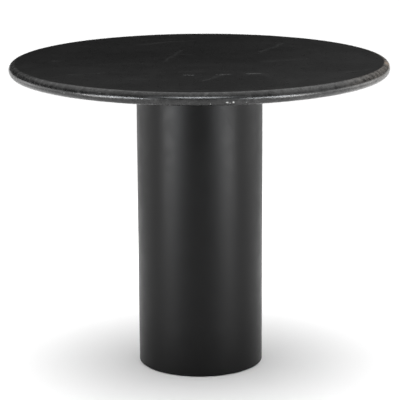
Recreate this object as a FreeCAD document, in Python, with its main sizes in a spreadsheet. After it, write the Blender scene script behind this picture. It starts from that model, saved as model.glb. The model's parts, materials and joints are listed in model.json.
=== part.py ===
"""Round pedestal table: a marble disc on a weighted steel column with four screw-adjusted feet.

The frame has +Z up and its origin on the floor, at the middle of the column. Every size is in millimetres.
The driving sizes are cells of the document's sheet, and each sketch, feature and placement is bound to them.
The table stands with its levelling feet screwed fully in.
"""
import FreeCAD, Part
import math
import os

import Sketcher

SIZES = {
    # the whole table
    "overall_height": 750.0,
    "top_diameter": 914.0,
    "top_thickness": 30.0,
    "column_diameter": 305.0,
    "column_wall": 2.0,
    "column_lift": 2.0,
    # the plate welded on the column, which carries the stone on soft pads
    "plate_overhang": 78.0,
    "plate_thickness": 6.0,
    "plate_chamfer": 1.0,
    "plate_bolt_inset": 26.0,
    "cushion_diameter": 32.0,
    "cushion_thickness": 2.0,
    # threaded inserts bonded in the stone, and the bolts that hold it down
    "insert_count": 6.0,
    "insert_diameter": 12.0,
    "insert_length": 16.0,
    "insert_relief": 2.0,
    "top_thread": 8.0,
    "top_engagement": 13.0,
    "top_head_flats": 13.0,
    "top_head_height": 5.3,
    "top_washer_diameter": 16.0,
    "top_washer_thickness": 1.6,
    "lock_washer_diameter": 14.0,
    "lock_washer_thickness": 2.0,
    "lock_washer_slit": 1.5,
    # the plate inside the foot of the column and the weight bolted on it
    "base_thickness": 8.0,
    "ballast_height": 75.0,
    "ballast_gap": 4.0,
    "ballast_chamfer": 3.0,
    "ballast_bolt_count": 3.0,
    "ballast_bolt_inset": 32.0,
    "ballast_thread": 10.0,
    "ballast_thread_end": 3.0,
    "ballast_head_flats": 16.0,
    "ballast_head_height": 6.4,
    "ballast_nut_height": 8.4,
    "ballast_washer_diameter": 20.0,
    "ballast_washer_thickness": 2.0,
    # the levelling feet
    "foot_count": 4.0,
    "foot_inset": 33.0,
    "foot_travel": 10.0,
    "sole_diameter": 40.0,
    "sole_thickness": 3.0,
    "sole_chamfer": 0.8,
    "pad_diameter": 40.0,
    "pad_flange": 3.0,
    "pad_height": 9.0,
    "pad_crown_diameter": 22.0,
    "pad_floor": 3.0,
    "collar_diameter": 16.0,
    "collar_height": 3.0,
    "neck_diameter": 12.0,
    "neck_length": 4.0,
    "stud_flats": 17.0,
    "stud_hex_height": 6.0,
    "stud_thread": 9.9,
    "stud_thread_end": 2.0,
    "weld_nut_diameter": 20.0,
    "weld_nut_height": 10.0,
    # clearances on the radius
    "weld_gap": 0.1,
    "thread_gap": 0.05,
    "swivel_gap": 0.1,
    "bolt_gap": 0.5,
    "cast_gap": 1.0,
}

SHEET = "Sizes"
FULL_TURN = 360
FLATS_TO_CORNER = 1 / math.sqrt(3)
VOLUME_STEP = 1e-3


class Size:
    """A length held twice: as a number for the first sketch, and as the expression that drives the document."""

    def __init__(self, value, text):
        self.value = value
        self.text = text

    def join(self, other, sign, result):
        return Size(result, f"({self.text} {sign} {other.text})")

    def __add__(self, other):
        other = as_size(other)
        return self.join(other, "+", self.value + other.value)

    def __sub__(self, other):
        other = as_size(other)
        return self.join(other, "-", self.value - other.value)

    def __mul__(self, other):
        other = as_size(other)
        return self.join(other, "*", self.value * other.value)

    def __truediv__(self, other):
        other = as_size(other)
        return self.join(other, "/", self.value / other.value)


def as_size(thing):
    return thing if isinstance(thing, Size) else Size(thing, repr(thing))


def driving(name):
    return Size(SIZES[name], f"{SHEET}.{name}")


def radius_of(name):
    return driving(name) / 2


ZERO = as_size(0.0)


def fill_sheet(doc):
    sheet = doc.addObject("Spreadsheet::Sheet", SHEET)
    for row, (name, value) in enumerate(SIZES.items(), start=1):
        sheet.set(f"A{row}", name)
        sheet.set(f"B{row}", str(value))
        sheet.setAlias(f"B{row}", name)
    doc.recompute()


# places that several pieces share, worked out from the driving sizes

def heights():
    """Levels above the floor, from the bottom up."""
    level = {}
    level["pad_bottom"] = driving("sole_thickness")
    level["pad_top"] = level["pad_bottom"] + driving("pad_height")
    level["stud_bottom"] = level["pad_bottom"] + driving("pad_floor")
    level["hex_bottom"] = level["stud_bottom"] + driving("collar_height") + driving("neck_length")
    level["base_bottom"] = level["hex_bottom"] + driving("stud_hex_height")
    level["base_top"] = level["base_bottom"] + driving("base_thickness")
    level["weld_nut_top"] = level["base_top"] + driving("weld_nut_height")
    level["ballast_top"] = level["base_top"] + driving("ballast_height")
    level["slab_top"] = driving("overall_height")
    level["slab_bottom"] = level["slab_top"] - driving("top_thickness")
    level["plate_top"] = level["slab_bottom"] - driving("cushion_thickness")
    level["plate_bottom"] = level["plate_top"] - driving("plate_thickness")
    return level


def circles():
    """Radii measured from the table's axis."""
    ring = {}
    ring["column_out"] = radius_of("column_diameter")
    ring["column_in"] = ring["column_out"] - driving("column_wall")
    ring["plate"] = ring["column_out"] + driving("plate_overhang")
    ring["top_bolts"] = ring["plate"] - driving("plate_bolt_inset")
    ring["base"] = ring["column_in"] - driving("weld_gap")
    ring["feet"] = ring["column_in"] - driving("foot_inset")
    ring["ballast"] = ring["feet"] - radius_of("weld_nut_diameter") - driving("ballast_gap")
    ring["ballast_bolts"] = ring["ballast"] - driving("ballast_bolt_inset")
    return ring


AT = heights()
RING = circles()


# sketches and features

def origin_feature(body, role):
    return next(feature for feature in body.Origin.OriginFeatures if feature.Role == role)


def new_body(doc, name):
    body = doc.addObject("PartDesign::Body", name)
    body.Label = name
    body.AllowCompound = True
    return body


def new_sketch(body, name, role, height=ZERO):
    sketch = body.newObject("Sketcher::SketchObject", name)
    sketch.AttachmentSupport = [(origin_feature(body, role), "")]
    sketch.MapMode = "FlatFace"
    sketch.setExpression(".AttachmentOffset.Base.z", height.text)
    return sketch


def constrain(sketch, size, *terms):
    index = sketch.addConstraint(Sketcher.Constraint(*terms, size.value))
    sketch.setExpression(f"Constraints[{index}]", size.text)


def pin(sketch, geometry, point, across, along):
    """Fix one point of the sketch at its two distances from the sketch's origin."""
    constrain(sketch, across, "DistanceX", -1, 1, geometry, point)
    constrain(sketch, along, "DistanceY", -1, 1, geometry, point)


def draw_outline(sketch, corners):
    """Closed outline of straight lines through corners, each a pair of sizes."""
    points = [FreeCAD.Vector(across.value, along.value, 0) for across, along in corners]
    for start, end in zip(points, points[1:] + points[:1]):
        sketch.addGeometry(Part.LineSegment(start, end), False)
    for line, (across, along) in enumerate(corners):
        sketch.addConstraint(Sketcher.Constraint("Coincident", line, 2, (line + 1) % len(corners), 1))
        pin(sketch, line, 1, across, along)


def draw_circle(sketch, radius, across=ZERO):
    centre = FreeCAD.Vector(across.value, 0, 0)
    index = sketch.addGeometry(Part.Circle(centre, FreeCAD.Vector(0, 0, 1), radius.value), False)
    pin(sketch, index, 3, across, ZERO)
    constrain(sketch, radius, "Radius", index)


def draw_hexagon(sketch, flats, across=ZERO):
    corner = flats * FLATS_TO_CORNER
    turns = [math.radians(60 * step) for step in range(6)]
    draw_outline(sketch, [(across + corner * math.cos(turn), corner * math.sin(turn)) for turn in turns])


def revolution(body, name, corners):
    """Solid of revolution about the body's Z axis; corners are (radius, height) pairs."""
    sketch = new_sketch(body, f"{name}_profile", "XZ_Plane")
    draw_outline(sketch, corners)
    return revolve(body, name, sketch)


def revolve(body, name, sketch):
    turned = body.newObject("PartDesign::Revolution", name)
    turned.Profile = sketch
    turned.ReferenceAxis = (sketch, ["V_Axis"])
    turned.Angle = FULL_TURN
    return turned


def pad(body, name, sketch, length):
    raised = body.newObject("PartDesign::Pad", name)
    raised.Profile = sketch
    raised.setExpression("Length", length.text)
    return raised


def pad_circle(body, name, bottom, height, radius, across=ZERO):
    sketch = new_sketch(body, f"{name}_circle", "XY_Plane", bottom)
    draw_circle(sketch, radius, across)
    return pad(body, name, sketch, height)


def pad_hexagon(body, name, bottom, height, flats, across=ZERO):
    sketch = new_sketch(body, f"{name}_hexagon", "XY_Plane", bottom)
    draw_hexagon(sketch, flats, across)
    return pad(body, name, sketch, height)


def cut_circle(body, name, bottom, depth, radius, across=ZERO):
    """Round hole from bottom upwards; a hole that takes nothing away is an error."""
    sketch = new_sketch(body, f"{name}_circle", "XY_Plane", bottom)
    draw_circle(sketch, radius, across)
    return cut_upwards(body, name, sketch, depth)


def cut_upwards(body, name, sketch, depth):
    body.Document.recompute()
    whole = body.Shape.Volume
    hole = body.newObject("PartDesign::Pocket", name)
    hole.Profile = sketch
    hole.Reversed = True
    hole.setExpression("Length", depth.text)
    body.Document.recompute()
    if whole - body.Shape.Volume < VOLUME_STEP:
        raise RuntimeError(f"{name} cuts nothing")
    return hole


def repeat_round(body, name, features, count):
    """Repeat the features about the table's axis."""
    pattern = body.newObject("PartDesign::PolarPattern", name)
    pattern.Originals = features
    pattern.Axis = (origin_feature(body, "Z_Axis"), [""])
    pattern.Angle = FULL_TURN
    pattern.setExpression("Occurrences", count.text)
    body.Tip = pattern
    return pattern


def ring_profile(inner, outer, bottom, top):
    return [(inner, bottom), (outer, bottom), (outer, top), (inner, top)]


# the top

def marble_top(doc):
    """Stone disc with a full bullnose rim and a ring of blind holes underneath."""
    body = new_body(doc, "marble_top")
    nose = radius_of("top_thickness")
    flat = radius_of("top_diameter") - nose
    middle = AT["slab_bottom"] + nose
    sketch = new_sketch(body, "slab_profile", "XZ_Plane")
    corners = [(ZERO, AT["slab_bottom"]), (flat, AT["slab_bottom"]), (flat, AT["slab_top"]), (ZERO, AT["slab_top"])]
    points = [FreeCAD.Vector(across.value, along.value, 0) for across, along in corners]
    tip = FreeCAD.Vector(flat.value + nose.value, middle.value, 0)
    sketch.addGeometry(Part.LineSegment(points[0], points[1]), False)
    sketch.addGeometry(Part.Arc(points[1], tip, points[2]), False)
    sketch.addGeometry(Part.LineSegment(points[2], points[3]), False)
    sketch.addGeometry(Part.LineSegment(points[3], points[0]), False)
    for line, (across, along) in enumerate(corners):
        sketch.addConstraint(Sketcher.Constraint("Coincident", line, 2, (line + 1) % len(corners), 1))
        pin(sketch, line, 1, across, along)
    constrain(sketch, flat, "DistanceX", -1, 1, 1, 3)
    revolve(body, "slab", sketch)
    depth = driving("insert_length") + driving("insert_relief")
    radius = radius_of("insert_diameter") + driving("weld_gap")
    hole = cut_circle(body, "insert_hole", AT["slab_bottom"], depth, radius, RING["top_bolts"])
    repeat_round(body, "insert_holes", [hole], driving("insert_count"))


def threaded_inserts(doc):
    """Brass sleeves bonded flush in the underside of the stone."""
    body = new_body(doc, "threaded_inserts")
    length = driving("insert_length")
    sleeve = pad_circle(body, "sleeve", AT["slab_bottom"], length, radius_of("insert_diameter"), RING["top_bolts"])
    bore = radius_of("top_thread") + driving("thread_gap")
    thread = cut_circle(body, "sleeve_thread", AT["slab_bottom"], length, bore, RING["top_bolts"])
    repeat_round(body, "sleeves", [sleeve, thread], driving("insert_count"))


def cushion_pads(doc):
    """Soft discs that the stone rests on, midway between the bolts."""
    body = new_body(doc, "cushion_pads")
    count = driving("insert_count")
    height = driving("cushion_thickness")
    disc = pad_circle(body, "cushion", AT["plate_top"], height, radius_of("cushion_diameter"), RING["top_bolts"])
    repeat_round(body, "cushions", [disc], count)
    half_step = f"{FULL_TURN} deg / {count.text} / 2"
    body.setExpression(".Placement.Rotation.Angle", half_step)


# the pedestal

def mounting_plate(doc):
    """Steel disc welded on the column's upper edge, drilled for the bolts outside the column."""
    body = new_body(doc, "mounting_plate")
    chamfer = driving("plate_chamfer")
    revolution(body, "plate", [
        (ZERO, AT["plate_bottom"]),
        (RING["plate"] - chamfer, AT["plate_bottom"]),
        (RING["plate"], AT["plate_bottom"] + chamfer),
        (RING["plate"], AT["plate_top"]),
        (ZERO, AT["plate_top"]),
    ])
    radius = radius_of("top_thread") + driving("bolt_gap")
    thickness = driving("plate_thickness")
    hole = cut_circle(body, "bolt_hole", AT["plate_bottom"], thickness, radius, RING["top_bolts"])
    repeat_round(body, "bolt_holes", [hole], driving("insert_count"))


def column_shell(doc):
    """Sheet steel rolled to a round drum, welded along one line and ground flush."""
    body = new_body(doc, "column_shell")
    revolution(body, "drum", ring_profile(
        RING["column_in"], RING["column_out"], driving("column_lift"), AT["plate_bottom"]))


def base_plate(doc):
    """Steel disc welded inside the foot of the column, drilled for the feet and for the weight's bolts."""
    body = new_body(doc, "base_plate")
    pad_circle(body, "disc", AT["base_bottom"], driving("base_thickness"), RING["base"])
    thickness = driving("base_thickness")
    radius = radius_of("ballast_thread") + driving("bolt_gap")
    bolt_hole = cut_circle(body, "weight_bolt_hole", AT["base_bottom"], thickness, radius, RING["ballast_bolts"])
    repeat_round(body, "weight_bolt_holes", [bolt_hole], driving("ballast_bolt_count"))
    stud_hole = radius_of("stud_thread") + driving("bolt_gap")
    foot_hole = cut_circle(body, "foot_hole", AT["base_bottom"], thickness, stud_hole, RING["feet"])
    repeat_round(body, "foot_holes", [foot_hole], driving("foot_count"))


def weld_nuts(doc):
    """Round nuts welded over the base plate's foot holes."""
    body = new_body(doc, "weld_nuts")
    height = driving("weld_nut_height")
    nut = pad_circle(body, "nut", AT["base_top"], height, radius_of("weld_nut_diameter"), RING["feet"])
    bore = radius_of("stud_thread") + driving("thread_gap")
    thread = cut_circle(body, "nut_thread", AT["base_top"], height, bore, RING["feet"])
    repeat_round(body, "nuts", [nut, thread], driving("foot_count"))


def ballast_weight(doc):
    """Cast-iron disc between the weld nuts, drilled through for its bolts."""
    body = new_body(doc, "ballast_weight")
    chamfer = driving("ballast_chamfer")
    revolution(body, "weight", [
        (ZERO, AT["base_top"]),
        (RING["ballast"], AT["base_top"]),
        (RING["ballast"], AT["ballast_top"] - chamfer),
        (RING["ballast"] - chamfer, AT["ballast_top"]),
        (ZERO, AT["ballast_top"]),
    ])
    radius = radius_of("ballast_thread") + driving("cast_gap")
    height = driving("ballast_height")
    hole = cut_circle(body, "through_hole", AT["base_top"], height, radius, RING["ballast_bolts"])
    repeat_round(body, "through_holes", [hole], driving("ballast_bolt_count"))


# fasteners: each group of equal ones is one body of separate solids

def washer_group(doc, name, bottoms, size, bore, ring, count):
    """Flat washers, one at each level in bottoms, repeated round a bolt circle."""
    body = new_body(doc, name)
    features = []
    thickness = driving(f"{size}_thickness")
    for step, bottom in enumerate(bottoms, start=1):
        disc = pad_circle(body, f"{name}_disc_{step}", bottom, thickness, radius_of(f"{size}_diameter"), ring)
        hole = cut_circle(body, f"{name}_hole_{step}", bottom, thickness, bore, ring)
        features += [disc, hole]
    repeat_round(body, f"{name}_ring", features, count)
    return body


def bolt_group(doc, name, head_bottom, size, length, ring, count):
    """Hexagon-head bolts pointing up, with the head's underside at head_bottom."""
    body = new_body(doc, name)
    height = driving(f"{size}_head_height")
    head = pad_hexagon(body, f"{name}_head", head_bottom, height, driving(f"{size}_head_flats"), ring)
    shank = pad_circle(body, f"{name}_shank", head_bottom + height, length, radius_of(f"{size}_thread"), ring)
    repeat_round(body, f"{name}_ring", [head, shank], count)


def top_washers(doc):
    bottom = AT["plate_bottom"] - driving("top_washer_thickness")
    bore = radius_of("top_thread") + driving("bolt_gap")
    washer_group(doc, "top_washers", [bottom], "top_washer", bore, RING["top_bolts"], driving("insert_count"))


def lock_washer_bottom():
    return AT["plate_bottom"] - driving("top_washer_thickness") - driving("lock_washer_thickness")


def top_lock_washers(doc):
    """Spring washers, each with the slit that lets it spring."""
    body = new_body(doc, "top_lock_washers")
    bottom = lock_washer_bottom()
    thickness = driving("lock_washer_thickness")
    ring = RING["top_bolts"]
    outer = radius_of("lock_washer_diameter")
    bore = radius_of("top_thread") + driving("swivel_gap")
    disc = pad_circle(body, "coil", bottom, thickness, outer, ring)
    hole = cut_circle(body, "coil_hole", bottom, thickness, bore, ring)
    sketch = new_sketch(body, "slit_outline", "XY_Plane", bottom)
    half_slit = radius_of("lock_washer_slit")
    past = ring + outer * 2
    draw_outline(sketch, [
        (ring, ZERO - half_slit),
        (past, ZERO - half_slit),
        (past, half_slit),
        (ring, half_slit),
    ])
    slit = cut_upwards(body, "slit", sketch, thickness)
    repeat_round(body, "coils", [disc, hole, slit], driving("insert_count"))


def top_bolts(doc):
    """Bolts up through the mounting plate into the inserts."""
    through = driving("lock_washer_thickness") + driving("top_washer_thickness") + driving("plate_thickness")
    length = through + driving("cushion_thickness") + driving("top_engagement")
    head_bottom = lock_washer_bottom() - driving("top_head_height")
    bolt_group(doc, "top_bolts", head_bottom, "top", length, RING["top_bolts"], driving("insert_count"))


def ballast_washers(doc):
    """One washer under each bolt's head and one under each nut."""
    bottoms = [AT["base_bottom"] - driving("ballast_washer_thickness"), AT["ballast_top"]]
    bore = radius_of("ballast_thread") + driving("bolt_gap")
    washer_group(doc, "ballast_washers", bottoms, "ballast_washer", bore, RING["ballast_bolts"],
                 driving("ballast_bolt_count"))


def ballast_bolts(doc):
    """Bolts up through the base plate and the weight."""
    washers = driving("ballast_washer_thickness") * 2
    clamped = driving("base_thickness") + driving("ballast_height") + washers
    length = clamped + driving("ballast_nut_height") + driving("ballast_thread_end")
    head_bottom = AT["base_bottom"] - driving("ballast_washer_thickness") - driving("ballast_head_height")
    bolt_group(doc, "ballast_bolts", head_bottom, "ballast", length, RING["ballast_bolts"],
               driving("ballast_bolt_count"))


def ballast_nuts(doc):
    body = new_body(doc, "ballast_nuts")
    bottom = AT["ballast_top"] + driving("ballast_washer_thickness")
    height = driving("ballast_nut_height")
    ring = RING["ballast_bolts"]
    nut = pad_hexagon(body, "hex_nut", bottom, height, driving("ballast_head_flats"), ring)
    bore = radius_of("ballast_thread") + driving("thread_gap")
    thread = cut_circle(body, "hex_nut_thread", bottom, height, bore, ring)
    repeat_round(body, "hex_nuts", [nut, thread], driving("ballast_bolt_count"))


# the levelling feet: each body is drawn on its own axis and then stood at its place

def stand_at_foot(body, number):
    """Place a foot's body on the foot circle."""
    angle = f"({number - 1} * {FULL_TURN} deg / {SHEET}.foot_count)"
    body.setExpression(".Placement.Base.x", f"{RING['feet'].text} * cos{angle}")
    body.setExpression(".Placement.Base.y", f"{RING['feet'].text} * sin{angle}")


def foot_sole(doc, number):
    """Rubber disc that meets the floor."""
    body = new_body(doc, f"foot_sole_{number}")
    edge = radius_of("sole_diameter")
    chamfer = driving("sole_chamfer")
    top = driving("sole_thickness")
    revolution(body, f"sole_{number}", [
        (ZERO, ZERO),
        (edge - chamfer, ZERO),
        (edge, chamfer),
        (edge, top),
        (ZERO, top),
    ])
    stand_at_foot(body, number)


def foot_pad(doc, number):
    """Pressed-steel cup with an inner groove, in which the stud's collar turns."""
    body = new_body(doc, f"foot_pad_{number}")
    swivel = driving("swivel_gap")
    edge = radius_of("pad_diameter")
    crown = radius_of("pad_crown_diameter")
    groove = radius_of("collar_diameter") + swivel
    mouth = radius_of("neck_diameter") + swivel
    groove_top = AT["stud_bottom"] + driving("collar_height") + swivel
    revolution(body, f"cup_{number}", [
        (ZERO, AT["pad_bottom"]),
        (edge, AT["pad_bottom"]),
        (edge, AT["pad_bottom"] + driving("pad_flange")),
        (crown, AT["pad_top"]),
        (mouth, AT["pad_top"]),
        (mouth, groove_top),
        (groove, groove_top),
        (groove, AT["stud_bottom"]),
        (ZERO, AT["stud_bottom"]),
    ])
    stand_at_foot(body, number)


def foot_stud(doc, number):
    """Threaded stud with a collar held in the foot pad and a hexagon for a spanner."""
    body = new_body(doc, f"foot_stud_{number}")
    collar_top = AT["stud_bottom"] + driving("collar_height")
    collar = radius_of("collar_diameter")
    neck = radius_of("neck_diameter")
    revolution(body, f"collar_{number}", [
        (ZERO, AT["stud_bottom"]),
        (collar, AT["stud_bottom"]),
        (collar, collar_top),
        (neck, collar_top),
        (neck, AT["hex_bottom"]),
        (ZERO, AT["hex_bottom"]),
    ])
    pad_hexagon(body, f"spanner_{number}", AT["hex_bottom"], driving("stud_hex_height"), driving("stud_flats"))
    engaged = driving("base_thickness") + driving("weld_nut_height")
    length = engaged + driving("foot_travel") + driving("stud_thread_end")
    pad_circle(body, f"thread_{number}", AT["base_bottom"], length, radius_of("stud_thread"))
    stand_at_foot(body, number)


# the document

FIXED_PIECES = (
    marble_top, threaded_inserts, cushion_pads,
    mounting_plate, column_shell, base_plate, weld_nuts, ballast_weight,
    top_washers, top_lock_washers, top_bolts,
    ballast_washers, ballast_bolts, ballast_nuts,
)
FOOT_PIECES = (foot_sole, foot_pad, foot_stud)


def build():
    doc = FreeCAD.newDocument("pedestal_table")
    fill_sheet(doc)
    for make in FIXED_PIECES:
        make(doc)
    for number in range(1, round(SIZES["foot_count"]) + 1):
        for make in FOOT_PIECES:
            make(doc, number)
    doc.recompute()
    return doc


def check(doc):
    """Refuse a document with a failed object or a sub-part without a valid solid."""
    for thing in doc.Objects:
        if {"Invalid", "Error"} & set(thing.State):
            raise RuntimeError(f"{thing.Label} failed: {thing.State}")
    for body in sub_parts(doc):
        if body.Shape.isNull() or not body.Shape.isValid() or not body.Shape.Solids:
            raise RuntimeError(f"{body.Label} has no valid solid")


def sub_parts(doc):
    return [thing for thing in doc.Objects if thing.TypeId == "PartDesign::Body"]


def write(doc):
    os.makedirs("parts", exist_ok=True)
    for body in sub_parts(doc):
        body.Shape.exportStep(f"parts/{body.Label}.step")


document = build()
check(document)
write(document)
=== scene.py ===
import json
import math

import bpy
from mathutils import Matrix, Vector, noise

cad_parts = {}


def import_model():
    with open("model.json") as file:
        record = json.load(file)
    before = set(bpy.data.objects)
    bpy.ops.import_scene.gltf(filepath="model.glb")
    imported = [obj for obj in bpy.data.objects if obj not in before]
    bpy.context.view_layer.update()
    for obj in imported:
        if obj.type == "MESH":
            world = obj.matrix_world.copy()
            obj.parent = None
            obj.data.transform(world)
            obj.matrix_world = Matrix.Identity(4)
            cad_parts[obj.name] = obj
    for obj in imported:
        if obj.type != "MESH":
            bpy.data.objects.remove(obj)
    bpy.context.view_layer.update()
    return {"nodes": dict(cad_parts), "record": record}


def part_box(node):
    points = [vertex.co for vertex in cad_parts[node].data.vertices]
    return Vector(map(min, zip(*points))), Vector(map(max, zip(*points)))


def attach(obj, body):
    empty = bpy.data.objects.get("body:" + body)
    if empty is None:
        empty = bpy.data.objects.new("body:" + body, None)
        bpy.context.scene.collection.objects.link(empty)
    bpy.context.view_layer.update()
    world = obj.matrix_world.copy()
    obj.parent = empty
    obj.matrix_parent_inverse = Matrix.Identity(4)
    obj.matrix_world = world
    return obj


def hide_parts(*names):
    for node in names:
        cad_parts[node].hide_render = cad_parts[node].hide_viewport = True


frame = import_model()

# Sizes in metres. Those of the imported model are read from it.
SLAB_LOW, SLAB_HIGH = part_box("marble_top")
SLAB_BOTTOM = SLAB_LOW.z
SLAB_TOP = SLAB_HIGH.z
SLAB_RADIUS = SLAB_HIGH.x
NOSE = (SLAB_TOP - SLAB_BOTTOM) / 2
SLAB_MIDDLE = (SLAB_TOP + SLAB_BOTTOM) / 2
SLAB_CORE = SLAB_RADIUS - NOSE
PLATE_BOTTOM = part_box("mounting_plate")[0].z
DRUM_LOW, DRUM_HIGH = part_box("column_shell")
BASE_LOW, BASE_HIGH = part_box("base_plate")
DRUM_RADIUS = DRUM_HIGH.x
DRUM_WALL = 0.002
FEET = range(1, 5)
TOP_BOLTS = 6
BALLAST_BOLTS = 3


# ---------------------------------------------------------------- materials

def value_node(tree, kind, **settings):
    node = tree.nodes.new(kind)
    for name, value in settings.items():
        setattr(node, name, value)
    return node


class Shader:
    """A Principled material whose inputs are built up from small procedural fields."""

    def __init__(self, name):
        self.material = bpy.data.materials.new(name)
        self.material.use_nodes = True
        self.tree = self.material.node_tree
        self.surface = self.tree.nodes["Principled BSDF"]
        self.where = self.tree.nodes.new("ShaderNodeTexCoord").outputs["Object"]

    def set(self, **constants):
        """Constant inputs, named with underscores for spaces."""
        for name, value in constants.items():
            self.surface.inputs[name.replace("_", " ")].default_value = value

    def link(self, source, target):
        self.tree.links.new(source, target)

    def feed(self, node, index, thing):
        if isinstance(thing, bpy.types.NodeSocket):
            self.link(thing, node.inputs[index])
        else:
            node.inputs[index].default_value = thing

    def math(self, operation, first, second=0.0, third=0.0, clamp=False):
        node = value_node(self.tree, "ShaderNodeMath", operation=operation, use_clamp=clamp)
        for index, thing in enumerate((first, second, third)):
            self.feed(node, index, thing)
        return node.outputs[0]

    def vector(self, operation, first, second=(0, 0, 0)):
        node = value_node(self.tree, "ShaderNodeVectorMath", operation=operation)
        self.feed(node, 0, first)
        self.feed(node, 1, second)
        return node

    def noise(self, scale, detail=3.0, roughness=0.5, distortion=0.0, where=None):
        node = self.tree.nodes.new("ShaderNodeTexNoise")
        self.link(where or self.where, node.inputs["Vector"])
        node.inputs["Scale"].default_value = scale
        node.inputs["Detail"].default_value = detail
        node.inputs["Roughness"].default_value = roughness
        node.inputs["Distortion"].default_value = distortion
        return node

    def stretch(self, along):
        """The object's coordinates, scaled differently on each axis."""
        return self.vector("MULTIPLY", self.where, along).outputs[0]

    def remap(self, value, low, high, to_low=0.0, to_high=1.0):
        """Smooth step from to_low at low to to_high at high."""
        node = value_node(self.tree, "ShaderNodeMapRange", interpolation_type="SMOOTHSTEP", clamp=True)
        for index, thing in enumerate((value, low, high, to_low, to_high)):
            self.feed(node, index, thing)
        return node.outputs[0]

    def mix(self, factor, first, second):
        node = value_node(self.tree, "ShaderNodeMix", data_type="RGBA")
        self.feed(node, 0, factor)
        for index, thing in ((6, first), (7, second)):
            if isinstance(thing, tuple):
                thing = (*thing[:3], 1.0)
            self.feed(node, index, thing)
        return node.outputs[2]

    def bump(self, height, distance, strength=1.0):
        """Relief of the given depth in metres, laid over any relief already there."""
        node = self.tree.nodes.new("ShaderNodeBump")
        node.inputs["Strength"].default_value = strength
        node.inputs["Distance"].default_value = distance
        self.link(height, node.inputs["Height"])
        before = self.surface.inputs["Normal"]
        if before.is_linked:
            self.link(before.links[0].from_socket, node.inputs["Normal"])
        self.link(node.outputs[0], before)

    def colour(self, socket):
        self.link(socket, self.surface.inputs["Base Color"])

    def rough(self, socket):
        self.link(socket, self.surface.inputs["Roughness"])


# Veins of the stone: (start, end, half width, strength, raggedness), in metres on the tabletop.
VEINS = (
    ((0.105, -0.207), (0.142, -0.203), 0.0012, 0.42, 0.5),
    ((0.037, -0.212), (0.068, -0.208), 0.0012, 0.26, 0.6),
    ((-0.036, -0.220), (-0.018, -0.218), 0.0016, 0.28, 0.4),
    ((0.155, 0.120), (0.210, 0.260), 0.0030, 0.050, 0.8),
    ((-0.085, -0.020), (-0.045, 0.150), 0.0028, 0.035, 0.8),
    ((0.010, -0.300), (0.048, -0.215), 0.0030, 0.055, 0.8),
    ((-0.300, -0.200), (-0.220, -0.185), 0.0040, 0.045, 0.9),
    ((0.150, -0.030), (0.260, 0.010), 0.0040, 0.040, 0.9),
    ((0.330, -0.190), (0.400, -0.150), 0.0040, 0.050, 0.9),
)


def vein_field(shader, warped, start, end, width, strength, ragged):
    """Brightness of one vein: high along a warped line from start to end, broken up along its length."""
    start, end = Vector((*start, 0)), Vector((*end, 0))
    along = end - start
    from_start = shader.vector("SUBTRACT", warped, tuple(start)).outputs[0]
    share = shader.vector("DOT_PRODUCT", from_start, tuple(along / along.length_squared)).outputs["Value"]
    share = shader.math("ADD", share, 0.0, clamp=True)
    scaled = shader.tree.nodes.new("ShaderNodeVectorMath")
    scaled.operation = "SCALE"
    scaled.inputs[0].default_value = tuple(along)
    shader.link(share, scaled.inputs["Scale"])
    offset = shader.vector("SUBTRACT", from_start, scaled.outputs[0]).outputs[0]
    distance = shader.vector("LENGTH", offset).outputs["Value"]
    line = shader.remap(distance, 0.0, width * 2.5, 1.0, 0.0)
    broken = shader.remap(shader.noise(140.0, 3.0, 0.7).outputs[0], 0.40, 0.62, 1.0 - ragged, 1.0)
    return shader.math("MULTIPLY", shader.math("MULTIPLY", line, broken), strength)


def grey(level):
    return (level, level, level)


# Looks of the stone. A gleam is a specular level. A pair of greys runs from the darkest place to the palest,
# across painted light on the top.
STONE_IOR = 1.5
HONED_GLEAM = 0.11
POLISHED_GLEAM = 0.42
FLECKS_PER_METRE = 260.0
CLOUD_GREYS = (0.0018, 0.0140)
PALE_CLOUD_GREYS = (0.0038, 0.0200)
STREAK_GREY = 0.028
GRAIN_GREY = 0.032
MOTTLE_GREY = 0.085
WARM_MOTTLE = (0.24, 0.22, 0.20)
FLECK_COLOUR = (0.30, 0.31, 0.31)
CALCITE_COLOUR = (0.62, 0.63, 0.62)
WARM_PATCH_COLOUR = (0.42, 0.37, 0.32)
RUST_COLOUR = (0.30, 0.17, 0.08)
VEIN_COLOUR = (0.36, 0.37, 0.37)


def wander(shader, field, reach):
    """Offset over the tabletop, up to half of reach each way, that makes straight things ragged."""
    centred = shader.vector("SUBTRACT", field.outputs["Color"], (0.5, 0.5, 0.5)).outputs[0]
    return shader.vector("MULTIPLY", centred, (reach, reach, 0)).outputs[0]


def all_veins(shader, flat, tremble):
    """Brightness of all the veins, each along a line that wanders."""
    sway = wander(shader, shader.noise(14.0, 4.0, 0.6), 0.045)
    warped = shader.vector("ADD", shader.vector("ADD", flat, sway).outputs[0], tremble).outputs[0]
    total = 0.0
    for vein in VEINS:
        total = shader.math("ADD", vein_field(shader, warped, *vein), total)
    return total


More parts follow.
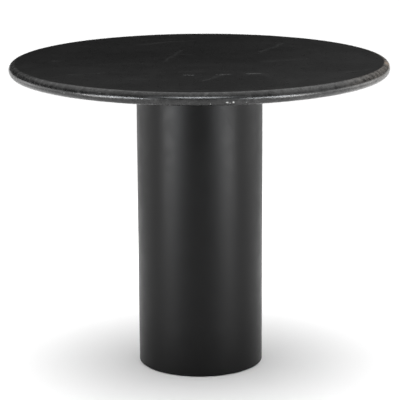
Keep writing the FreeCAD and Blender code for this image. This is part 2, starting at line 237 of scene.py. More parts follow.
def clouded(shader, across, forwards, grain):
    """Near-black ground with clouds, streaks and a fine grain, with painted light that makes it a little
    paler to the right and the front.
    """
    # Painted light: the ground greys are mixed paler towards the right and the front, standing in for how
    # light falls on the top.
    painted_light_to_right = shader.remap(across, 0.0, 0.42, 0.0, 0.5)
    painted_light_to_front = shader.remap(forwards, 0.18, -0.42, 0.0, 0.5)
    painted_light_drift = shader.math("ADD", painted_light_to_right, painted_light_to_front)
    dark = shader.mix(painted_light_drift, grey(CLOUD_GREYS[0]), grey(CLOUD_GREYS[1]))
    light = shader.mix(painted_light_drift, grey(PALE_CLOUD_GREYS[0]), grey(PALE_CLOUD_GREYS[1]))
    cloud = shader.noise(7.0, 5.0, 0.62, 0.8).outputs[0]
    streak = shader.noise(5.0, 4.0, 0.6, 1.5, shader.stretch((1.0, 3.2, 1.0))).outputs[0]
    ground = shader.mix(shader.remap(cloud, 0.35, 0.72), dark, light)
    ground = shader.mix(shader.remap(streak, 0.56, 0.78, 0.0, 0.4), ground, grey(STREAK_GREY))
    return shader.mix(shader.remap(grain, 0.55, 0.75, 0.0, 0.35), ground, grey(GRAIN_GREY))


def mottled(shader, ground, rim, across):
    """Mottle where the rim cuts through the bedding, warm at the right, and paler at both ends: a painted
    reflection at the left end, and partly pale stone and partly painted reflection at the right.
    """
    # Painted reflection: the mottle is made paler at the left end, and at the right partly for pale stone and
    # partly as painted reflection.
    right_pale_stone_and_reflection = shader.remap(across, 0.02, 0.30, 0.0, 0.13)
    painted_left_reflection = shader.remap(across, -0.28, -0.42, 0.0, 0.05)
    paler = shader.math("ADD", right_pale_stone_and_reflection, painted_left_reflection)
    mottle = shader.math("ADD", shader.noise(75.0, 6.0, 0.72, 0.5).outputs[0], paler)
    mottle = shader.remap(mottle, 0.42, 0.80, 0.0, 0.6)
    tone = shader.mix(shader.remap(across, 0.28, 0.45), grey(MOTTLE_GREY), WARM_MOTTLE)
    return shader.mix(shader.math("MULTIPLY", mottle, rim), ground, tone)


def pale_flecks(shader, rim, tremble):
    """Clusters of small calcite flecks, and larger pale pockets, on the rim only."""
    cells = value_node(shader.tree, "ShaderNodeTexVoronoi", feature="F1")
    cells.inputs["Scale"].default_value = FLECKS_PER_METRE
    cells.inputs["Randomness"].default_value = 1.0
    shader.link(shader.vector("ADD", shader.where, tremble).outputs[0], cells.inputs["Vector"])
    flecks = shader.remap(cells.outputs["Distance"], 0.10, 0.26, 1.0, 0.0)
    clusters = shader.remap(shader.noise(11.0, 4.0, 0.75).outputs[0], 0.56, 0.66)
    flecks = shader.math("MULTIPLY", shader.math("MULTIPLY", flecks, clusters), 0.45)
    pockets = shader.remap(shader.noise(34.0, 5.0, 0.75, 0.6).outputs[0], 0.655, 0.72, 0.0, 0.55)
    return shader.math("MULTIPLY", shader.math("MAXIMUM", flecks, pockets), rim)


def marble():
    """Black marble: honed and faintly clouded on top, polished on the rim, with veins and flecks."""
    shader = Shader("black_marble")
    shader.set(IOR=STONE_IOR)
    flat = shader.vector("MULTIPLY", shader.where, (1, 1, 0)).outputs[0]
    radius = shader.vector("LENGTH", flat).outputs["Value"]
    rim = shader.remap(radius, SLAB_RADIUS - NOSE * 1.1, SLAB_RADIUS - NOSE * 0.75)
    split = shader.tree.nodes.new("ShaderNodeSeparateXYZ")
    shader.link(shader.where, split.inputs[0])
    across, forwards = split.outputs["X"], split.outputs["Y"]
    tremble = wander(shader, shader.noise(90.0, 2.0, 0.6), 0.008)
    grain = shader.noise(420.0, 3.0, 0.6).outputs[0]
    pale = pale_flecks(shader, rim, tremble)
    veins = shader.math("MULTIPLY", all_veins(shader, flat, tremble), shader.math("SUBTRACT", 1.0, rim))

    colour = mottled(shader, clouded(shader, across, forwards, grain), rim, across)
    for amount, tint in (
        (pale, FLECK_COLOUR),
        (rim_inclusions(shader), CALCITE_COLOUR),
        (shader.math("MULTIPLY", pale_end(shader), rim), WARM_PATCH_COLOUR),
        (shader.math("MULTIPLY", rust_patch(shader), rim), RUST_COLOUR),
        (shader.math("MINIMUM", veins, 1.0), VEIN_COLOUR),
    ):
        colour = shader.mix(amount, colour, tint)
    shader.colour(colour)

    honed = shader.remap(shader.noise(60.0, 3.0, 0.6).outputs[0], 0.3, 0.7, 0.27, 0.34)
    polished = shader.remap(shader.noise(45.0, 3.0, 0.6).outputs[0], 0.3, 0.7, 0.24, 0.32)
    finish = shader.tree.nodes.new("ShaderNodeMix")
    for index, thing in ((0, rim), (2, honed), (3, polished)):
        shader.feed(finish, index, thing)
    shader.rough(finish.outputs[0])
    gleam = shader.remap(rim, 0.0, 1.0, HONED_GLEAM, POLISHED_GLEAM)
    shader.link(gleam, shader.surface.inputs["Specular IOR Level"])
    shader.bump(grain, 0.00002, 0.5)
    shader.bump(pale, -0.00015, 0.6)
    return shader.material


RAGGED = 1.3


def spot(shader, centre, size, soft=0.5):
    """1 within size of a point on the object, fading out with a ragged edge."""
    offset = shader.vector("SUBTRACT", shader.where, centre).outputs[0]
    distance = shader.vector("LENGTH", offset).outputs["Value"]
    ragged = shader.math("MULTIPLY", shader.noise(380.0, 3.0, 0.7).outputs[0], size * RAGGED)
    return shader.remap(shader.math("ADD", distance, ragged), size * (RAGGED - soft), size * 1.5, 1.0, 0.0)


def on_rim(degrees, tilt):
    """Point on the rim: degrees round from the front towards +X, tilt above (or below) its widest line."""
    turn, lift = math.radians(degrees), math.radians(tilt)
    reach = SLAB_CORE + NOSE * math.cos(lift)
    return (reach * math.sin(turn), -reach * math.cos(turn), SLAB_MIDDLE + NOSE * math.sin(lift))


# Calcite pockets: (degrees round from the front, degrees of tilt, size in metres).
POCKETS = (
    (7.6, -28, 0.0042),
    (9.3, -26, 0.0040),
    (8.4, -34, 0.0020),
    (3.0, -40, 0.0018),
    (13.0, -32, 0.0016),
)


def rim_inclusions(shader):
    """White calcite pockets low on the front of the rim."""
    total = 0.0
    for degrees, tilt, size in POCKETS:
        total = shader.math("ADD", spot(shader, on_rim(degrees, tilt), size), total)
    return shader.math("MINIMUM", total, 1.0)


def rust_patch(shader):
    """Stain of iron in the stone, high on the right-hand end of the rim."""
    return shader.math("MULTIPLY", spot(shader, on_rim(84, 40), 0.026, 1.1), 0.7)


def pale_end(shader):
    """Paler, warmer stone around the stain."""
    return shader.math("MULTIPLY", spot(shader, on_rim(84, -5), 0.060, 1.2), 0.9)


def powder_coat(name, colour, specular, low, high):
    """Black powder coat: satin, with the fine orange peel of baked powder."""
    shader = Shader(name)
    shader.set(IOR=1.5, Specular_IOR_Level=specular)
    tone = shader.noise(3.0, 3.0, 0.5)
    dark = tuple(channel * 0.82 for channel in colour)
    shader.colour(shader.mix(shader.remap(tone.outputs[0], 0.3, 0.7), dark, colour))
    peel = shader.noise(620.0, 2.0, 0.45)
    speck = shader.noise(2300.0, 1.0, 0.4)
    shader.rough(shader.remap(shader.noise(26.0, 4.0, 0.6).outputs[0], 0.3, 0.7, low, high))
    shader.bump(peel.outputs[0], 0.00006, 0.5)
    shader.bump(speck.outputs[0], 0.00002, 0.4)
    return shader.material


def zinc():
    """Bright zinc plate, a little cloudy from its passivation."""
    shader = Shader("zinc_plate")
    shader.set(Metallic=1.0)
    cloud = shader.noise(180.0, 4.0, 0.6, 0.5)
    clouding = shader.remap(cloud.outputs[0], 0.35, 0.7)
    shader.colour(shader.mix(clouding, (0.52, 0.54, 0.56), (0.68, 0.68, 0.66)))
    shader.rough(shader.remap(shader.noise(700.0, 3.0, 0.6).outputs[0], 0.3, 0.7, 0.26, 0.42))
    shader.bump(cloud.outputs[0], 0.00002, 0.4)
    return shader.material


def brass():
    shader = Shader("insert_brass")
    shader.set(Metallic=1.0)
    tone = shader.noise(300.0, 3.0, 0.6)
    shader.colour(shader.mix(shader.remap(tone.outputs[0], 0.3, 0.7), (0.62, 0.45, 0.19), (0.80, 0.62, 0.30)))
    shader.rough(shader.remap(tone.outputs[0], 0.3, 0.7, 0.28, 0.40))
    shader.bump(shader.noise(900.0, 2.0, 0.5, 0.0, shader.stretch((1, 1, 6))).outputs[0], 0.00002, 0.4)
    return shader.material


def cast_iron():
    shader = Shader("cast_weight")
    shader.set(Metallic=0.85)
    sand = shader.noise(520.0, 5.0, 0.7)
    grains = shader.remap(sand.outputs[0], 0.3, 0.75)
    shader.colour(shader.mix(grains, (0.07, 0.07, 0.072), (0.17, 0.165, 0.16)))
    shader.rough(shader.remap(shader.noise(90.0, 3.0, 0.6).outputs[0], 0.3, 0.7, 0.55, 0.78))
    shader.bump(sand.outputs[0], 0.0004, 0.8)
    return shader.material


def rubber(name, dark, light, low, high):
    shader = Shader(name)
    bloom = shader.noise(120.0, 4.0, 0.6)
    shader.colour(shader.mix(shader.remap(bloom.outputs[0], 0.35, 0.75), dark, light))
    shader.rough(shader.remap(shader.noise(400.0, 3.0, 0.6).outputs[0], 0.3, 0.7, low, high))
    shader.bump(shader.noise(1500.0, 2.0, 0.5).outputs[0], 0.00005, 0.5)
    return shader.material


COAT = (0.0010, 0.0010, 0.0010)
MATERIALS = {
    "marble": marble(),
    "black_powder_coat": powder_coat("black_powder_coat", COAT, 0.175, 0.37, 0.43),
    "cast_weight": cast_iron(),
    "zinc_plate": zinc(),
    "insert_brass": brass(),
    "clear_silicone": rubber("clear_silicone", (0.62, 0.63, 0.62), (0.74, 0.75, 0.74), 0.38, 0.52),
    "sole_rubber": rubber("sole_rubber", (0.016, 0.016, 0.016), (0.034, 0.033, 0.032), 0.62, 0.80),
}


def dress(thing, slot):
    thing.data.materials.clear()
    thing.data.materials.append(MATERIALS[slot])


for entry in frame["record"]["subparts"]:
    dress(frame["nodes"][entry["node"]], entry["material_slot"])


# ---------------------------------------------------------------- meshes

def turned(name, profile, segments, centre=(0.0, 0.0), shape=None, closed=False):
    """Mesh of revolution about a vertical axis.

    profile holds (radius, height) pairs, and shape(angle, radius, height) may move each point. A profile that
    starts and ends on the axis makes a closed skin, and closed joins the ends of any other.
    """
    vertices, rings = [], []
    for radius, height in profile:
        if radius == 0:
            vertices.append((centre[0], centre[1], height))
            rings.append([len(vertices) - 1] * segments)
            continue
        ring = []
        for step in range(segments):
            angle = 2 * math.pi * step / segments
            reach, level = shape(angle, radius, height) if shape else (radius, height)
            vertices.append((centre[0] + reach * math.cos(angle), centre[1] + reach * math.sin(angle), level))
            ring.append(len(vertices) - 1)
        rings.append(ring)
    pairs = list(zip(rings, rings[1:]))
    if closed:
        pairs.append((rings[-1], rings[0]))
    faces = []
    for lower, upper in pairs:
        for step in range(segments):
            after = (step + 1) % segments
            corners = (lower[step], lower[after], upper[after], upper[step])
            faces.append(tuple(dict.fromkeys(corners)))
    mesh = bpy.data.meshes.new(name)
    mesh.from_pydata(vertices, [], faces)
    mesh.update()
    return finish_mesh(name, mesh)


def finish_mesh(name, mesh, crease=35.0):
    mesh.shade_smooth()
    mesh.set_sharp_from_angle(angle=math.radians(crease))
    thing = bpy.data.objects.new(name, mesh)
    bpy.context.scene.collection.objects.link(thing)
    return thing


def join(name, things):
    """One object from several, each of which is removed."""
    with bpy.context.temp_override(active_object=things[0], selected_editable_objects=things):
        bpy.ops.object.join()
    things[0].name = name
    things[0].data.name = name
    return things[0]


def place(thing, body, slot, *nodes):
    dress(thing, slot)
    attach(thing, body)
    if nodes:
        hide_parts(*nodes)
    return thing


def arc(centre_radius, centre_height, size, start, end, steps):
    """Points on a quarter or half round, from start to end in degrees above the horizontal."""
    points = []
    for step in range(steps + 1):
        lift = math.radians(start + (end - start) * step / steps)
        points.append((centre_radius + size * math.cos(lift), centre_height + size * math.sin(lift)))
    return points


# ---------------------------------------------------------------- the top

HAND_POLISH = 0.00018
WAVES_PER_METRE = 9.0
PITS_PER_METRE = 95.0
FINE_PITS_PER_METRE = 260.0
PIT_START = 0.30
PIT_GAIN = 0.0044
RIM_STEPS = 30
SLAB_SEGMENTS = 960
RINGS_ON_TOP = (0.10, 0.20, 0.30, 0.38, SLAB_CORE - 0.012)


def worn_rim(angle, radius, height):
    """The bullnose as hand polishing leaves it: very slightly wavy, with small pits low on the edge."""
    if radius < SLAB_CORE:
        return radius, height
    spot_on_rim = Vector((radius * math.cos(angle), radius * math.sin(angle), height))
    wave = noise.noise(spot_on_rim * WAVES_PER_METRE) * HAND_POLISH
    coarse = noise.noise(spot_on_rim * PITS_PER_METRE)
    fine = noise.noise(spot_on_rim * FINE_PITS_PER_METRE)
    pit = coarse * 0.6 + fine * 0.4
    lowness = max(0.0, min(1.0, (SLAB_BOTTOM + NOSE * 1.1 - height) / NOSE))
    cut = max(0.0, pit - PIT_START) * PIT_GAIN * lowness
    outward = Vector((radius - SLAB_CORE, height - SLAB_MIDDLE)).normalized()
    depth = wave - HAND_POLISH - cut
    return radius + outward.x * depth, height + outward.y * depth


def slab():
    profile = [(0, SLAB_BOTTOM)] + [(radius, SLAB_BOTTOM) for radius in RINGS_ON_TOP]
    profile += arc(SLAB_CORE, SLAB_MIDDLE, NOSE, -90, 90, RIM_STEPS)
    profile += [(radius, SLAB_TOP) for radius in reversed(RINGS_ON_TOP)] + [(0, SLAB_TOP)]
    stone = turned("marble_slab", profile, SLAB_SEGMENTS, shape=worn_rim)
    return place(stone, "pedestal", "marble", "marble_top")


slab()


# ---------------------------------------------------------------- the column

SEAM_HEIGHT = 0.00022
SEAM_HALF_WIDTH = math.radians(1.3)
EDGE_ROUND = 0.0006
DRUM_RINGS = 6
DRUM_SEGMENTS = 360
WELD_LEG = 0.0035
WELD_STEP = 0.0022
WELD_SECTION = (0.0, 0.25, 0.5, 0.75, 1.0)
BASE_WELDS = 8
BASE_WELDED_SHARE = 0.45


def seam(angle, radius, height):
    """Long weld at the back of the drum, ground nearly flush. The wall is drawn in by its height."""
    if radius < DRUM_RADIUS - DRUM_WALL / 2:
        return radius, height
    away = abs((angle - math.pi / 2 + math.pi) % (2 * math.pi) - math.pi)
    lift = SEAM_HEIGHT * math.exp(-(away / SEAM_HALF_WIDTH) ** 2)
    return radius + lift - SEAM_HEIGHT, height


def drum():
    inner = DRUM_RADIUS - DRUM_WALL
    low, high = DRUM_LOW.z, DRUM_HIGH.z
    profile = arc(DRUM_RADIUS - EDGE_ROUND, low + EDGE_ROUND, EDGE_ROUND, -90, 0, 5)
    profile += [(DRUM_RADIUS, low + (high - low) * ring / DRUM_RINGS) for ring in range(1, DRUM_RINGS)]
    profile += [(DRUM_RADIUS, high), (inner, high), (inner, BASE_HIGH.z), (inner, BASE_LOW.z)]
    profile += arc(inner + EDGE_ROUND, low + EDGE_ROUND, EDGE_ROUND, 180, 270, 5)
    wall = turned("column_drum", profile, DRUM_SEGMENTS, shape=seam, closed=True)
    return place(wall, "pedestal", "black_powder_coat", "column_shell")


def bead(name, radius, height, leg, side, span, start, reach, whole):
    """One run of rippled fillet weld from the angle start: a closed ring if whole, else faded and capped."""
    steps = max(24, int(radius * reach / WELD_STEP))
    vertices, faces = [], []
    for step in range(steps if whole else steps + 1):
        angle = start + reach * step / steps
        ripple = 1 + 0.16 * math.sin(step * 2.1) + 0.10 * noise.noise(Vector((angle * 40, span, 0)))
        fade = 1.0 if whole else min(1.0, 0.25 + 6 * min(step, steps - step) / steps)
        size = leg * ripple * fade
        for share in WELD_SECTION:
            swell = 0.22 * math.sin(math.pi * share)
            out = radius + side * size * (1 - share + swell)
            down = height - size * (share + swell)
            vertices.append((out * math.cos(angle), out * math.sin(angle), down))
        vertices.append((radius * math.cos(angle), radius * math.sin(angle), height))
    count = len(WELD_SECTION) + 1
    total = len(vertices) // count
    for step in range(total if whole else total - 1):
        here, there = step * count, (step + 1) % total * count
        for edge in range(count):
            after = (edge + 1) % count
            faces.append((here + edge, here + after, there + after, there + edge))
    if not whole:
        faces.append(tuple(range(count)))
        faces.append(tuple(reversed(range((total - 1) * count, total * count))))
    mesh = bpy.data.meshes.new(name)
    mesh.from_pydata(vertices, [], faces)
    return finish_mesh(name, mesh, 60.0)


def weld(name, radius, height, inside, spans=1, covered=1.0):
    """Fillet weld between a wall at radius and a plate at height, in spans that cover a share of it."""
    side = -1 if inside else 1
    turn = 2 * math.pi / spans
    runs = [
        bead(name, radius, height, WELD_LEG, side, span, turn * span, turn * covered, covered >= 1.0)
        for span in range(spans)
    ]
    return place(join(name, runs) if spans > 1 else runs[0], "pedestal", "black_powder_coat")


drum()
weld("plate_weld", DRUM_RADIUS, PLATE_BOTTOM, inside=False)
weld("base_weld", DRUM_RADIUS - DRUM_WALL, BASE_LOW.z, True, BASE_WELDS, BASE_WELDED_SHARE)


# ---------------------------------------------------------------- fasteners

def hexagonal(flats, centre_turn=0.0):
    """Limits a turned profile to a hexagon of that width across flats."""
    def shape(angle, radius, height):
        within = (angle - centre_turn + math.pi / 6) % (math.pi / 3) - math.pi / 6
        return min(radius, flats / 2 / math.cos(within)), height
    return shape


# Radii of a bolt's parts, as shares of its width across flats.
DISH_FLOOR, DISH_EDGE, END_FACE, WASHER_FACE, SHANK = 0.30, 0.36, 0.475, 0.485, 0.30
WASHER_FACE_HEIGHT = 0.0004
SHANK_CHAMFER = 0.0008
HEX_SEGMENTS = 72
ROUND_SEGMENTS = 36


def hex_head(name, centre, bottom, top, flats):
    """Bolt head that faces down, dished and chamfered below, with a washer face above, turned at random."""
    corner = flats / math.sqrt(3)
    chamfer = (corner - flats * END_FACE) * math.tan(math.radians(30))
    dish = chamfer * 0.6
    profile = [
        (0, bottom + dish),
        (flats * DISH_FLOOR, bottom + dish),
        (flats * DISH_EDGE, bottom),
        (flats * END_FACE, bottom),
        (corner, bottom + chamfer),
        (corner, top - WASHER_FACE_HEIGHT),
        (flats * WASHER_FACE, top - WASHER_FACE_HEIGHT),
        (flats * WASHER_FACE, top),
        (0, top),
    ]
    turn = noise.random() * math.pi / 3
    return turned(name, profile, HEX_SEGMENTS, centre, hexagonal(flats, turn))


def bolts(name, node, count, circle, head_height, flats):
    """Ring of bolts, heads down, in place of the plain ones."""
    low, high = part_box(node)
    head_top = low.z + head_height
    shank = flats * SHANK
    made = []
    for number in range(count):
        angle = 2 * math.pi * number / count
        centre = (circle * math.cos(angle), circle * math.sin(angle))
        made.append(hex_head(f"{name}_{number + 1}", centre, low.z, head_top, flats))
        made.append(turned(f"{name}_shank_{number + 1}", [
            (0, head_top),
            (shank, head_top),
            (shank, high.z - SHANK_CHAMFER),
            (shank - SHANK_CHAMFER, high.z),
            (0, high.z),
        ], ROUND_SEGMENTS, centre))
    return place(join(name, made), "pedestal", "zinc_plate", node)


noise.seed_set(7)
M8_FLATS, M8_HEAD, M8_WASHER_RADIUS = 0.013, 0.0053, 0.008
M10_FLATS, M10_HEAD, M10_WASHER_RADIUS = 0.016, 0.0064, 0.010
TOP_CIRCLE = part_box("top_washers")[1].x - M8_WASHER_RADIUS
BALLAST_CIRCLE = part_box("ballast_washers")[1].x - M10_WASHER_RADIUS
bolts("top_bolt_set", "top_bolts", TOP_BOLTS, TOP_CIRCLE, M8_HEAD, M8_FLATS)
bolts("ballast_bolt_set", "ballast_bolts", BALLAST_BOLTS, BALLAST_CIRCLE, M10_HEAD, M10_FLATS)


# ---------------------------------------------------------------- levelling feet

# Parts of a foot, from the stud's thread down to the rubber. Heights are above the bottom of each piece.
PITCH = 0.0015
THREAD_DEPTH = 0.0008
THREAD_RADIUS = 0.00495
THREAD_LEAST = 0.004
TIP_CHAMFER = 0.0012
RINGS_PER_TURN = 8
COLLAR_RADIUS, COLLAR_HEIGHT, COLLAR_BEVEL = 0.008, 0.003, 0.0004
NECK_RADIUS = 0.006
STUD_FLATS = 0.017
STUD_HEX_BEVEL = 0.0009
HEX_FROM, HEX_TO = 0.007, 0.013
SOCKET_FLOOR, SOCKET_MOUTH, SOCKET_GROOVE, GROOVE_HEIGHT = 0.003, 0.0061, 0.0081, 0.0031
CUP_BEVEL, CUP_BEVEL_HEIGHT = 0.0004, 0.0005
CUP_LIP, CUP_LIP_HEIGHT = 0.0012, 0.0018
CUP_SLOPE = ((0.0160, 0.0046), (0.0130, 0.0068))
CUP_TOP_RADIUS, CUP_TOP_ROUND = 0.0100, 0.001
GRIPS, GRIP_HALF_WIDTH, GRIP_DEPTH = (0.008, 0.013), 0.0008, 0.0007
SOLE_ROUND = 0.0008


def middle_of(node):
    low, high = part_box(node)
    return ((low.x + high.x) / 2, (low.y + high.y) / 2), low, high


def threaded(start):
    """Rounded vee thread, wound like a right-hand screw, over the turned points above start."""
    def shape(angle, radius, height):
        if height <= start or radius < THREAD_LEAST:
            return radius, height
        phase = (height / PITCH - angle / (2 * math.pi)) % 1.0
        return radius - THREAD_DEPTH * (0.5 + 0.5 * math.cos(2 * math.pi * phase)), height
    return shape


def stud(number):
    """Swivel collar, neck, hexagon for a spanner, and a real thread above it."""
    node = f"foot_stud_{number}"
    centre, low, high = middle_of(node)
    corner = STUD_FLATS / math.sqrt(3)
    hex_bottom, hex_top = low.z + HEX_FROM, low.z + HEX_TO
    collar_top = low.z + COLLAR_HEIGHT
    collar = turned(f"{node}_collar", [
        (0, low.z),
        (COLLAR_RADIUS - COLLAR_BEVEL, low.z),
        (COLLAR_RADIUS, low.z + COLLAR_BEVEL),
        (COLLAR_RADIUS, collar_top - COLLAR_BEVEL),
        (COLLAR_RADIUS - COLLAR_BEVEL, collar_top),
        (NECK_RADIUS, collar_top),
        (NECK_RADIUS, hex_bottom),
        (0, hex_bottom),
    ], 48, centre)
    spanner = turned(f"{node}_hex", [
        (0, hex_bottom),
        (STUD_FLATS * 0.47, hex_bottom),
        (corner, hex_bottom + STUD_HEX_BEVEL),
        (corner, hex_top - WASHER_FACE_HEIGHT),
        (STUD_FLATS * WASHER_FACE, hex_top),
        (0, hex_top),
    ], HEX_SEGMENTS, centre, hexagonal(STUD_FLATS))
    start = hex_top - 0.0005
    ring_gap = PITCH / RINGS_PER_TURN
    rings = int((high.z - start - 0.001) / ring_gap)
    profile = [(0, start)] + [(THREAD_RADIUS, start + ring_gap * ring) for ring in range(rings + 1)]
    profile += [(THREAD_RADIUS - TIP_CHAMFER, high.z), (0, high.z)]
    screw = turned(f"{node}_thread", profile, 40, centre, threaded(start))
    return place(join(f"{node}_screw", [collar, spanner, screw]), f"screw_{number}", "zinc_plate", node)


def cup(number):
    """Pressed pad with a socket that holds the collar of the stud."""
    node = f"foot_pad_{number}"
    centre, low, high = middle_of(node)
    edge = (high.x - low.x) / 2
    floor_height = low.z + SOCKET_FLOOR
    groove_top = floor_height + GROOVE_HEIGHT
    profile = [(0, low.z), (edge - CUP_BEVEL, low.z), (edge, low.z + CUP_BEVEL_HEIGHT)]
    profile += arc(edge - CUP_LIP, low.z + CUP_LIP_HEIGHT, CUP_LIP, 0, 70, 5)
    profile += [(radius, low.z + rise) for radius, rise in CUP_SLOPE]
    profile += arc(CUP_TOP_RADIUS, high.z - CUP_TOP_ROUND, CUP_TOP_ROUND, 20, 90, 4)
    profile += [(SOCKET_MOUTH, high.z), (SOCKET_MOUTH, groove_top), (SOCKET_GROOVE, groove_top)]
    profile += [(SOCKET_GROOVE, floor_height), (0, floor_height)]
    return place(turned(f"{node}_cup", profile, 64, centre), f"foot_{number}", "zinc_plate", node)


def sole(number):
    """Rubber sole with two shallow grip grooves underneath."""
    node = f"foot_sole_{number}"
    centre, low, high = middle_of(node)
    edge = (high.x - low.x) / 2
    profile = [(0, low.z)]
    for grip in GRIPS:
        profile.append((grip - GRIP_HALF_WIDTH, low.z))
        profile.append((grip, low.z + GRIP_DEPTH))
        profile.append((grip + GRIP_HALF_WIDTH, low.z))
    profile += arc(edge - SOLE_ROUND, low.z + SOLE_ROUND, SOLE_ROUND, -90, 0, 4)
    profile += [(edge, high.z), (0, high.z)]
    return place(turned(f"{node}_disc", profile, 64, centre), f"foot_{number}", "sole_rubber", node)


for foot in FEET:
    stud(foot)
    cup(foot)
    sole(foot)


# ---------------------------------------------------------------- stage, light and camera

FLOOR_HALF = 30.0
FLOOR_GREYS = (0.91, 0.93)
# Grey of the painted shade on the floor far from the table.
SHADED_FAR_FLOOR_GREY = 0.60
NEAR_FLOOR, FAR_FLOOR = 0.8, 2.6


def floor():
    """Pale floor, with painted shade that makes it darker away from the table, out where nothing shades it
    from the fill.
    """
    mesh = bpy.data.meshes.new("studio_floor")
    corners = [(x * FLOOR_HALF, y * FLOOR_HALF, 0) for x, y in ((-1, -1), (1, -1), (1, 1), (-1, 1))]
    mesh.from_pydata(corners, [], [(0, 1, 2, 3)])
    thing = bpy.data.objects.new("studio_floor", mesh)
    bpy.context.scene.collection.objects.link(thing)
    shader = Shader("studio_floor")
    shader.set(Specular_IOR_Level=0.1, Roughness=0.9)
    tone = shader.noise(0.6, 2.0, 0.5)
    near = shader.mix(tone.outputs[0], grey(FLOOR_GREYS[0]), grey(FLOOR_GREYS[1]))
    away = shader.vector("LENGTH", shader.where).outputs["Value"]
    # Painted shade: the floor's colour greys away from the table.
    shader.colour(shader.mix(shader.remap(away, NEAR_FLOOR, FAR_FLOOR), near, grey(SHADED_FAR_FLOOR_GREY)))
    see_through_from_below(shader)
    mesh.materials.append(shader.material)


def see_through_from_below(shader):
    """The floor has only an upper side, so that the underside of the table can be looked at."""
    tree = shader.tree
    facing = tree.nodes.new("ShaderNodeNewGeometry")
    clear = tree.nodes.new("ShaderNodeBsdfTransparent")
    mix = tree.nodes.new("ShaderNodeMixShader")
    tree.links.new(facing.outputs["Backfacing"], mix.inputs[0])
    tree.links.new(shader.surface.outputs[0], mix.inputs[1])
    tree.links.new(clear.outputs[0], mix.inputs[2])
    tree.links.new(mix.outputs[0], tree.nodes["Material Output"].inputs["Surface"])


def softbox(name, place_at, aim, width, height, power):
    """Area light that the camera doesn't see."""
    data = bpy.data.lights.new(name, "AREA")
    data.shape = "RECTANGLE"
    data.size, data.size_y = width, height
    data.energy = power
    thing = bpy.data.objects.new(name, data)
    thing.location = place_at
    thing.rotation_euler = (Vector(aim) - Vector(place_at)).to_track_quat("-Z", "Y").to_euler()
    thing.visible_camera = False
    bpy.context.scene.collection.objects.link(thing)
    return thing


def from_camera_side(degrees, distance, height):
    """Point round the table from the camera's side, positive towards +X."""
    turn = math.radians(degrees)
    return (distance * math.sin(turn), -distance * math.cos(turn), height)


COOL = (0.93, 0.965, 1.0)
PANEL_DISTANCE = 2.4
FLAT_DISTANCE = 2.6
FRONT_DISTANCE = 3.2
FILL_STRENGTH = 3.5
FILL_SPREAD = math.radians(75)
FILL_TILT = math.radians(2)


def panel(name, degrees, distance, height, width, tall, radiance, colour=(1, 1, 1), aim=None):
    """Softbox of even brightness facing the table: upright, or turned towards the height given as aim."""
    power = radiance * math.pi * width * tall
    target = (0, 0, height if aim is None else aim)
    thing = softbox(name, from_camera_side(degrees, distance, height), target, width, tall, power)
    thing.data.color = colour
    return thing


def lights():
    """Glints, and a soft fill that leaves none.

    The low strips light the two bands of the drum. The high strips stop just under the tabletop's plane, so
    that they glint on the rim and not in the top. The front strip lights the middle of the rim, and the flats
    light the edges of the drum.
    """
    strips = (
        panel("left_low_strip", -56, PANEL_DISTANCE, 0.24, 0.90, 0.44, 19.0),
        panel("right_low_strip", 52, PANEL_DISTANCE, 0.24, 0.90, 0.44, 20.0),
        panel("left_high_strip", -41, PANEL_DISTANCE, 0.62, 0.95, 0.23, 42.0, COOL),
        panel("right_high_strip", 38, PANEL_DISTANCE, 0.62, 0.95, 0.23, 37.0, COOL),
        panel("front_strip", -1.5, FRONT_DISTANCE, 2.35, 1.6, 0.70, 23.0, COOL, aim=SLAB_TOP),
        panel("left_flat", -102, FLAT_DISTANCE, 0.38, 2.2, 0.72, 1.6),
        panel("right_flat", 96, FLAT_DISTANCE, 0.38, 2.2, 0.72, 2.3),
    )
    for strip in strips:
        strip.visible_diffuse = False
    data = bpy.data.lights.new("fill", "SUN")
    data.energy = FILL_STRENGTH
    data.angle = FILL_SPREAD
    fill = bpy.data.objects.new("fill", data)
    fill.rotation_euler = (FILL_TILT, 0, 0)
    fill.visible_glossy = False
    bpy.context.scene.collection.objects.link(fill)


def smooth_ramp(tree, value, low, high, to_low, to_high):
    ramp = value_node(tree, "ShaderNodeMapRange", interpolation_type="SMOOTHSTEP")
    for index, number in ((1, low), (2, high), (3, to_low), (4, to_high)):
        ramp.inputs[index].default_value = number
    tree.links.new(value, ramp.inputs[0])
    return ramp.outputs[0]


# The ceiling fades in between two heights, and between two depths from front to back, of a unit direction.
ROOM_GLOW = 0.03
CEILING_GLOW = 1.35
CEILING_FROM, CEILING_FULL = 0.34, 0.70
CEILING_FRONT, CEILING_BACK = -0.85, 0.0
BACKDROP_GLOW = 1.0


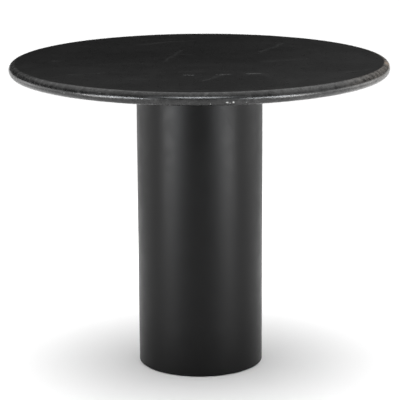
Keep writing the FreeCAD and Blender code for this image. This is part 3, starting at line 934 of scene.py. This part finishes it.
def world():
    """Dark room with a bright ceiling that fades towards the front, and a pale backdrop for the camera."""
    surroundings = bpy.data.worlds.new("studio")
    surroundings.use_nodes = True
    tree = surroundings.node_tree
    tree.nodes.clear()
    where = tree.nodes.new("ShaderNodeTexCoord")
    split = tree.nodes.new("ShaderNodeSeparateXYZ")
    tree.links.new(where.outputs["Generated"], split.inputs[0])
    overhead = smooth_ramp(tree, split.outputs["Z"], CEILING_FROM, CEILING_FULL, 0.0, CEILING_GLOW)
    behind = smooth_ramp(tree, split.outputs["Y"], CEILING_FRONT, CEILING_BACK, 0.0, 1.0)
    both = value_node(tree, "ShaderNodeMath", operation="MULTIPLY_ADD")
    tree.links.new(overhead, both.inputs[0])
    tree.links.new(behind, both.inputs[1])
    both.inputs[2].default_value = ROOM_GLOW
    room = tree.nodes.new("ShaderNodeBackground")
    tree.links.new(both.outputs[0], room.inputs["Strength"])
    backdrop = tree.nodes.new("ShaderNodeBackground")
    backdrop.inputs["Strength"].default_value = BACKDROP_GLOW
    ray = tree.nodes.new("ShaderNodeLightPath")
    mix = tree.nodes.new("ShaderNodeMixShader")
    out = tree.nodes.new("ShaderNodeOutputWorld")
    tree.links.new(ray.outputs["Is Camera Ray"], mix.inputs[0])
    tree.links.new(room.outputs[0], mix.inputs[1])
    tree.links.new(backdrop.outputs[0], mix.inputs[2])
    tree.links.new(mix.outputs[0], out.inputs[0])
    bpy.context.scene.world = surroundings


CAMERA_BACK = 4.30
CAMERA_HEIGHT = 1.433
CAMERA_DOWN = math.radians(13.46)
CAMERA_ROLL = math.radians(-0.3)
CAMERA_LENS = 162.5
CAMERA_SENSOR = 36.0
CAMERA_REACH = 200.0


def camera():
    data = bpy.data.cameras.new("camera")
    data.lens = CAMERA_LENS
    data.sensor_width = CAMERA_SENSOR
    data.clip_end = CAMERA_REACH
    thing = bpy.data.objects.new("camera", data)
    tilt = Matrix.Rotation(math.pi / 2 - CAMERA_DOWN, 4, "X")
    roll = Matrix.Rotation(CAMERA_ROLL, 4, "Z")
    thing.matrix_world = Matrix.Translation((0, -CAMERA_BACK, CAMERA_HEIGHT)) @ tilt @ roll
    bpy.context.scene.collection.objects.link(thing)
    bpy.context.scene.camera = thing


floor()
lights()
world()
camera()
bpy.context.scene.view_settings.view_transform = "Standard"
